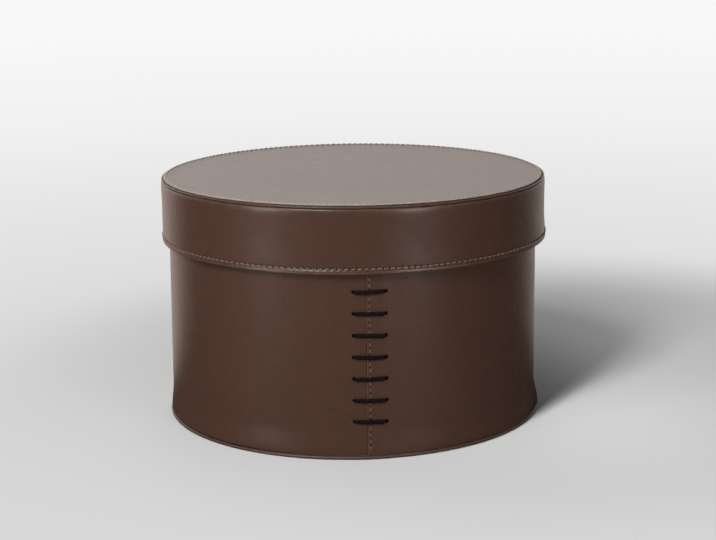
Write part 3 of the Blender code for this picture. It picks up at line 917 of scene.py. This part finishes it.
def makeTop(spec):
    radius, hub, thickness = spec["radius"], spec["hub"], spec["thickness"]
    turns = stitchCount(spec["stitchRadius"])
    count = turns * spec["columns"]
    flat = stepped((hub, radius - spec["border"], 9 * mm),
                   (radius - spec["border"], radius - spec["edgeWide"], 0.6 * mm))
    arc = np.radians(np.linspace(90, 0, len(spec["wearAndSheen"]) + 1))[1:]
    # Rings from the middle out and back underneath: radius, drop and wear
    rings = [(r, 0.0, 0.0) for r in flat]
    rings += [(radius - spec["edgeWide"] * (1 - math.cos(a)), -spec["edgeRound"] * (1 - math.sin(a)), sheenAndWear)
              for a, sheenAndWear in zip(arc, spec["wearAndSheen"])]
    rings += [(radius, -thickness, 0.0), (hub, -thickness, 0.0)]
    r, drop, sheenAndWear = (np.array(column) for column in zip(*rings))
    columns = []
    for angle in fullTurn(count):
        here = np.full_like(r, angle)
        z = place["lidTop"] + drop + np.where(drop > -thickness * 0.99, topLift(here, r), 0.0)
        columns.append(cylinderPoint(here, r + spec["aside"] * math.cos(angle) * r / radius, z))
    columns.append([(0, 0, place["lidTop"] - spec["dish"]), (0, 0, place["lidTop"] - thickness)])
    across = (r - spec["stitchRadius"]) / mm
    row = [(turns * i / count, v) for i in range(count) for v in across] + [(0, across[0])] * 2
    wearAndSheen = np.append(np.tile(sheenAndWear, count), [0, 0])
    top = makeObject("lid_top", np.concatenate(columns), discFaces(count, len(rings)), topPaintedLitLeather,
                     maps={"ring row": row}, wearAndSheen=wearAndSheen, turns=turns)
    # Painted shade: the outer ring takes the dark cut-edge leather, a dyed edge that also stands in for the
    # shade above the piping
    top.data.materials.append(darkEdgeAndShadeLeather)
    for face in top.data.polygons:
        reach = math.hypot(face.center.x, face.center.y)
        if reach - spec["aside"] * face.center.x / reach > radius - spec["darkEdgeReach"]:
            face.material_index = 1
    return top


dress(makeTop(topDisc), "lid", "lid_top_leather")
ringStitches("lid_top_stitches", topDisc["stitchRadius"], place["lidTop"], "up", topLift, 0.0,
             "lid_top_thread", "lid", 15, topStitchLook)


# Piping

def makePiping(name, ringRadius, z, tubeRadius, shift, rise, node, body, seed):
    # A covered cord, drawn in a little at every stitch of the hidden row that holds it
    count, sides = 800, 16
    angles, turns = fullTurn(count), fullTurn(sides)
    pull = 0.5 + 0.5 * np.cos(angles * stitchCount(ringRadius))
    thick = tubeRadius * (1 - 0.035 * pull + 0.018 * smoothNoise(angles, seed, (5, 9, 14, 23, 31)))
    r = (ringRadius + shift(angles))[:, None] + thick[:, None] * np.cos(turns)
    heights = z + thick[:, None] * np.sin(turns) + rise(angles)[:, None]
    verts = cylinderPoint(angles[:, None], r, heights).reshape(-1, 3)
    wearAndSheen = 0.15 * np.tile(towards(turns, 45, 3), (count, 1))
    obj = makeObject(name, verts, gridFaces(count, sides, True, True), pipingLeather, wearAndSheen=wearAndSheen)
    dress(obj, body, node)


lidPiping = {
    "radius": 0.75 * mm,  # of the cord that shows between the top's edge and the side's
    "inset": 1.45 * mm,
    "drop": 1.8 * mm,
}
basePiping = {
    "radius": (high("base_piping").z - low("base_piping").z) / 2,
    "frontLeft": 1.3 * mm,  # the welt stands out a little more to the left of the front seam,
    "frontLeftAngle": -115,
    "frontRight": 1.2 * mm,  # lies closer to the wall on the right,
    "frontRightAngle": -30,
    "seam": 0.6 * mm,  # and the doubled leather of the seam pushes it out
    "seamReach": 22 * mm,
}


def lidPipingShift(angle):
    return lidSheet["aside"] * np.cos(angle)


def basePipingShift(angle):
    spec = basePiping
    around = (angle - frontSeam + math.pi) % math.tau - math.pi
    seam = spec["seam"] * bump(around * place["bodySide"], spec["seamReach"])
    lean = (bodySheet["leanLeft"] - bodySheet["drawnLeft"]) * towards(angle, 180)
    sides = (spec["frontLeft"] * towards(angle, spec["frontLeftAngle"])
             - spec["frontRight"] * towards(angle, spec["frontRightAngle"]))
    return bodySheet["flareRight"] * towards(angle, 0) + sides + seam + lean


makePiping("lid_piping_cord", high("lid_piping").x - lidPiping["inset"],
           high("lid_piping").z - lidPiping["drop"], lidPiping["radius"], lidPipingShift, rimRise,
           "lid_piping", "lid", 41)
makePiping("base_piping_cord", high("base_piping").x - basePiping["radius"],
           high("base_piping").z - basePiping["radius"], basePiping["radius"], basePipingShift, np.zeros_like,
           "base_piping", "body", 42)
print("stage: top and piping made")


# Laces

laceLook = {
    "width": 1.60 * mm,  # half the width of the thong
    "thick": 1.15 * mm,  # half its thickness
    "groove": 0.20,  # a shallow fold along its outer face, as a share of the thickness
    "inside": -(1.6 + 0.3 + 1.4) * mm,  # past the leather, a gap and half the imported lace
    "tilt": (-0.35, 0.35),  # how far its ends and its middle stray up or down, in millimetres
    "bow": (-0.45, 0.15),
    "sides": 20,
    "steps": 120,
}


def makeLace(index, node, z):
    spec = laceLook
    rng = random.Random(70 + index)
    reach, inside = bodySheet["holeReach"], spec["inside"]
    tiltZ = rng.uniform(*spec["tilt"]) * mm
    bow = rng.uniform(*spec["bow"]) * mm

    def surface(s):
        angle = np.array([frontSeam + s / place["bodySide"]])
        return float(bodyLift(angle, np.array([z]))[0])

    def throughHole(way):
        # Knots from the face through a hole to the inside: along the wall, out from it, and up
        edge = way * (reach - 1.5 * mm)
        return [(edge, surface(edge) + spec["thick"], way * tiltZ),
                (way * (reach - 0.15 * mm), -0.9 * mm, way * tiltZ),
                (way * (reach - 1.2 * mm), inside + 0.5 * mm, 0), (way * (reach - 4 * mm), inside, 0)]

    knots = []
    for share in np.linspace(-1, 1, 9)[1:-1]:
        s = share * (reach - 2.0 * mm)
        base = max(surface(s - 0.8 * mm), surface(s), surface(s + 0.8 * mm), 0.0)
        knots.append((s, base + spec["thick"], tiltZ * share + bow * (1 - share ** 2)))
    knots = np.array(knots + throughHole(1) + [(0, inside, 0)] + throughHole(-1)[::-1])
    points, widths = [], []
    wander = rng.uniform(0, math.tau)
    for k in range(spec["steps"]):
        # A smooth closed curve through the knots
        t = k / spec["steps"] * len(knots)
        f = t - int(t)
        p0, p1, p2, p3 = (knots[(int(t) + d) % len(knots)] for d in (-1, 0, 1, 2))
        p = 0.5 * ((2 * p1) + (-p0 + p2) * f + (2 * p0 - 5 * p1 + 4 * p2 - p3) * f ** 2
                   + (-p0 + 3 * p1 - 3 * p2 + p3) * f ** 3)
        angle = frontSeam + p[0] / place["bodySide"]
        r = place["bodySide"] + p[1]
        points.append((r * math.cos(angle), r * math.sin(angle), z + p[2]))
        nearHole = float(bump(abs(p[0]) - reach, 3.2 * mm))
        rough = 0.05 * math.sin(t * 2.3 + wander) + 0.03 * math.sin(t * 5.1 + 2 * wander)
        widths.append(1 - 0.30 * nearHole + rough)
    points = np.array(points)
    heading = np.roll(points, -1, 0) - np.roll(points, 1, 0)
    heading /= np.linalg.norm(heading, axis=1)[:, None]
    outward = np.cross(heading, (0.0, 0.0, 1.0))
    outward /= np.linalg.norm(outward, axis=1)[:, None]
    across = np.cross(outward, heading)
    turns = fullTurn(spec["sides"])
    cosine, sine = np.cos(turns), np.sin(turns)
    # A flat thong: squarer than an ellipse, with a fold along the face that shows
    acrossShape = spec["width"] * np.sign(cosine) * np.abs(cosine) ** 0.75
    outShape = spec["thick"] * np.sign(sine) * np.abs(sine) ** 0.8 * (1 - spec["groove"] * bump(cosine, 0.35))
    widths = np.array(widths)[:, None, None]
    verts = (points[:, None, :] + widths * acrossShape[None, :, None] * across[:, None, :]
             + (0.6 + 0.4 * widths) * outShape[None, :, None] * outward[:, None, :]).reshape(-1, 3)
    wearAndSheen = np.tile(0.35 * np.abs(cosine) ** 4, spec["steps"])
    faces = gridFaces(spec["steps"], spec["sides"], True, True)
    dress(makeObject("lace_%d" % (index + 1), verts, faces, laceLeather, wearAndSheen=wearAndSheen), "body", node)


for index, (node, z) in enumerate(zip(laces, laceHeights)):
    makeLace(index, node, z)
print("stage: laces made")


# Linings

def liningWall(name, node, body, seed):
    # A ring of suede, a little uneven on the face that shows
    lowest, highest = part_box(node)
    count, rows, outer = 240, 24, highest.x
    angles, zs = fullTurn(count)[:, None], np.linspace(lowest.z, highest.z, rows)
    wander = 0.12 * mm * smoothNoise(angles + 6 * zs, seed, (3, 5, 8, 12))
    face = cylinderPoint(angles, outer - place["lining"] + wander, zs)
    back = cylinderPoint(angles, np.full((count, 2), outer), (highest.z, lowest.z))
    verts = np.concatenate([face, back], 1).reshape(-1, 3)
    dress(makeObject(name, verts, gridFaces(count, rows + 2, True, True), suede), body, node)


def liningDisc(name, node, body, seed, facing):
    # A disc of suede, a little uneven on the face that shows
    lowest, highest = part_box(node)
    count, rows, radius = 120, 26, highest.x
    shown, hidden = (highest.z, lowest.z) if facing > 0 else (lowest.z, highest.z)
    shown = shown - facing * 0.1 * mm
    angles, rings = fullTurn(count)[:, None], np.linspace(0.04, 1, rows) * radius
    wander = 0.10 * mm * smoothNoise(angles, seed, (2, 3, 5)) * np.sin(math.pi * rings / radius)
    wander = wander + 0.05 * mm * np.sin(rings * 90)
    heights = np.concatenate([shown + wander, np.full((count, 2), hidden)], 1)
    verts = cylinderPoint(angles, np.append(rings, [radius, rings[0]]) + 0 * heights, heights).reshape(-1, 3)
    verts = np.append(verts, [(0, 0, shown), (0, 0, hidden)], 0)
    dress(makeObject(name, verts, discFaces(count, rows + 2), suede), body, node)


liningWall("body_suede_wall", "body_wall_lining", "body", 51)
liningWall("lid_suede_wall", "lid_side_lining", "lid", 52)
liningDisc("body_suede_floor", "base_lining", "body", 53, 1)
liningDisc("lid_suede_top", "lid_top_lining", "lid", 54, -1)

# The pieces that are shown as they are packed
for name in ("base_board", "body_wall_board", "lid_top_board", "lid_side_board", "base_leather"):
    nodes[name].data.materials.clear()
    nodes[name].data.materials.append(plainLeather if name == "base_leather" else board)
print("stage: linings made")


# Floor, light and camera

studio = {
    "floorRadius": 14.0,
    # Tone of the paper at a distance from the box's middle, in metres
    "paper": ((0.0, 0.620), (0.22, 0.632), (0.40, 0.690), (0.60, 0.733), (0.91, 0.776), (1.55, 0.852),
              (1.94, 0.885), (3.8, 0.940)),
    "mattCentre": (0.16, 0.06, 0.0),
    "plainRange": (0.30, 0.57),  # from matt paper, lit and shadowed like any surface, to a plain backdrop
    "mirroredRange": (0.16, 0.24),  # in the leather's sheen the backdrop is plain from nearer still
    "paperAlbedo": 0.755,
    "shadowHeading": math.radians(36.2),
    "shadowBegins": (0.0, 0.05),
    "shadowEdge": (0.144, 0.163),
    # Centre, reach and tone of a painted shadow: close to the box's foot, in its shadow, the paper is painted
    # darker,
    "footDark": ((0.155, -0.009, 0.0), 0.125, 0.44),
    "footStretch": (1.0, 0.3, 1.0),
    "footLit": ((0.165, -0.05, 0.0), 0.22, 1.17),  # and of painted light: in the light beside the shadow the paper is painted a little brighter
    "worldLight": 0.22,
    "lampTarget": (0, 0, 0.1),
    "litBehind": (0.30, 0.76),  # from the side to straight behind, where glossy rays find the backdrop,
    "litRight": 0.15,  # sooner than that on the right,
    "litLater": (0.45, 0.85, -0.07, 0.07),  # and on the left sooner on the paper near the box than far off
    "dimShare": 0.10,
    "nearDim": (0.2, 0.45, 0.32, 0.0),  # on the right, near the foot, they find it dimmer by this
    "nearDimRight": (0.0, 0.35),
    "floorLeft": 0.34,  # the paper, and the backdrop above it, are a little brighter to the left
    "skyLeft": 0.45,
    "behindTone": 0.97,  # what glossy rays see of the backdrop behind the box, and of the room in front
    "frontTone": 0.05,
    "floorSheen": (1.05, 0.87, 0.78, 1.0),  # the leather's sheen is a little warmer than paper and backdrop
    "skySheen": (1.0, 0.955, 0.92, 1.0),
    "white": (1, 1, 1, 1),
}


def backdropShare(side, behind, dim, full, brighterLeft):
    # How much of the lit backdrop a glossy ray finds, from how far to the side and behind the box it goes
    begins = minus(studio["litBehind"][0], times(doMath("MAXIMUM", side, 0.0), studio["litRight"]))
    most = times(full, minus(1.0, times(side, brighterLeft)))
    return mapRange(behind, begins, studio["litBehind"][1], dim, most)


def spotTone(where, centre, reach, tone):
    return mapRange(doVector("DISTANCE", where, centre), 0.0, reach, tone, 1.0)


# The paper's colour, with a painted shadow at the box's foot and painted light beside it
def paperAlbedo(where):
    sine, cosine = math.sin(studio["shadowHeading"]), math.cos(studio["shadowHeading"])
    along = doVector("DOT_PRODUCT", where, (sine, cosine, 0.0))
    across = doVector("DOT_PRODUCT", where, (cosine, -sine, 0.0))
    shadowed = times(mapRange(across, *studio["shadowEdge"], 1.0, 0.0),
                     mapRange(along, *studio["shadowBegins"]))
    dark = spotTone(doVector("MULTIPLY", where, studio["footStretch"]), *studio["footDark"])
    lit = spotTone(where, *studio["footLit"])
    return times(plus(lit, times(minus(dark, lit), shadowed)), studio["paperAlbedo"])


def makeFloor():
    material, tree = newMaterial("studio floor")
    tree.nodes.clear()
    where = objectPlace(tree)
    away = doVector("LENGTH", where)
    farthest = studio["paper"][-1][0]
    ramp = follow("ValToRGB", {0: doMath("DIVIDE", away, farthest)})
    stops = ramp.color_ramp.elements
    for index, (distance, tone) in enumerate(studio["paper"]):
        stop = stops[index] if index < 2 else stops.new(distance / farthest)
        stop.position = distance / farthest
        stop.color = (tone, tone, tone, 1.0)
    path = addNode(tree, "LightPath").outputs
    glossy = path["Is Glossy Ray"]
    # The lit paper runs back from the box, so a glossy ray that goes to the side or to the front finds it dim
    parts = follow("SeparateXYZ", {0: doVector("NORMALIZE", where)}).outputs
    leftShare = doMath("MAXIMUM", times(parts[0], -1.0), 0.0)
    behind = minus(parts[1], times(mapRange(away, *studio["litLater"]), leftShare))
    behind = backdropShare(parts[0], behind, studio["dimShare"], 1.0, studio["floorLeft"])
    rightShare = mapRange(parts[0], *studio["nearDimRight"])
    behind = times(behind, minus(1.0, times(mapRange(away, *studio["nearDim"]), rightShare)))
    share = plus(1.0, times(glossy, minus(behind, 1.0)))
    kept = times(share, paperAlbedo(where))
    albedo = follow("CombineColor", {0: kept, 1: kept, 2: kept}).outputs[0]
    matt = follow("BsdfDiffuse", {"Color": albedo}).outputs[0]
    tint = mixColour(glossy, studio["white"], studio["floorSheen"])
    tinted = mixColour(1.0, ramp.outputs["Color"], tint, "MULTIPLY")
    glow = follow("Emission", {"Color": tinted, "Strength": share}).outputs[0]
    plain = mapRange(doVector("DISTANCE", where, studio["mattCentre"]), *studio["plainRange"])
    mirrored = times(mapRange(away, *studio["mirroredRange"]), glossy)
    seen = doMath("MAXIMUM", path["Is Camera Ray"], glossy)
    fade = times(doMath("MAXIMUM", plain, mirrored), seen)
    mixed = follow("MixShader", {0: fade, 1: matt, 2: glow})
    follow("OutputMaterial", {"Surface": mixed.outputs[0]})
    angles = fullTurn(96)
    mesh = bpy.data.meshes.new("studio_floor")
    verts = cylinderPoint(angles, np.full(len(angles), studio["floorRadius"]), 0.0)
    mesh.from_pydata([tuple(v) for v in verts], [], [tuple(range(len(angles)))])
    mesh.materials.append(material)
    linkObject("studio_floor", mesh)


def makeWorld():
    # Even light from all round; mirror-like rays find a pale backdrop behind the box and a dim room in front
    world = bpy.data.worlds.new("studio")
    bpy.context.scene.world = world
    world.use_nodes = True
    tree = world.node_tree
    tree.nodes.clear()
    direction = addNode(tree, "TexCoord").outputs["Generated"]
    parts = follow("SeparateXYZ", {0: direction}).outputs
    tone = backdropShare(parts[0], parts[1], studio["frontTone"], studio["behindTone"], studio["skyLeft"])
    farTone = studio["paper"][-1][1]
    lights = ((studio["skySheen"], tone), (studio["white"], studio["worldLight"]),
              ((farTone, farTone, farTone, 1.0), 1.0))
    mirrored, even, backdrop = [
        addNode(tree, "Background", {"Color": colour, "Strength": strength}).outputs[0]
        for colour, strength in lights]
    path = addNode(tree, "LightPath").outputs
    unseen = follow("MixShader", {0: path["Is Glossy Ray"], 1: even, 2: mirrored}).outputs[0]
    final = follow("MixShader", {0: path["Is Camera Ray"], 1: unseen, 2: backdrop})
    follow("OutputWorld", {"Surface": final.outputs[0]})


def backwards(azimuth, elevation):
    # Azimuth is measured round from the front seam, to the right as the camera sees it, in degrees
    a, e = math.radians(azimuth), math.radians(elevation)
    return Vector((math.sin(a) * math.cos(e), -math.cos(a) * math.cos(e), math.sin(e)))


def addSoftbox(name, azimuth, elevation, distance, size, power):
    light = bpy.data.lights.new(name, "AREA")
    light.shape = "RECTANGLE"
    light.size, light.size_y = size
    light.energy = power
    back = backwards(azimuth, elevation)
    lamp = linkObject(name, light)
    lamp.location = Vector(studio["lampTarget"]) + back * distance
    lamp.rotation_euler = (-back).to_track_quat("-Z", "Y").to_euler()


# Azimuth and elevation in degrees, distance and size in metres, power in watts
softboxes = {
    "key softbox": (-31.5, 38, 2.4, (0.5, 0.9), 45),
    "left strip": (-55, 7, 2.2, (0.32, 0.5), 10),
    "right strip": (30, 7, 2.2, (0.32, 0.5), 8.8),
    "back softbox": (178, 42, 2.4, (1.2, 0.9), 5.5),
}

shot = {
    "azimuth": -4.68,
    "elevation": 13.366,
    "distance": 1.4512,
    "roll": -0.0125,
    "target": (0, 0, place["lidTop"] / 2),
    "focal": 1708.3,  # in pixels of the 716 pixel wide photograph
    "frameWidth": 716,
    "offset": (-5.1, 18.2),  # pixels, right and down, of the box's middle from the photograph's
}


def makeCamera():
    cam = bpy.data.cameras.new("camera")
    cam.sensor_width = 36.0
    cam.lens = shot["focal"] / shot["frameWidth"] * cam.sensor_width
    cam.shift_x = -shot["offset"][0] / shot["frameWidth"]
    cam.shift_y = shot["offset"][1] / shot["frameWidth"]
    back = backwards(shot["azimuth"], shot["elevation"])
    turn = (-back).to_track_quat("-Z", "Y").to_matrix().to_4x4() @ Matrix.Rotation(shot["roll"], 4, "Z")
    obj = linkObject("camera", cam)
    obj.matrix_world = Matrix.Translation(Vector(shot["target"]) + back * shot["distance"]) @ turn
    bpy.context.scene.camera = obj


makeFloor()
makeWorld()
for lampName, lamp in softboxes.items():
    addSoftbox(lampName, *lamp)
makeCamera()
bpy.context.scene.view_settings.view_transform = "Standard"
print("stage: floor, light and camera made")
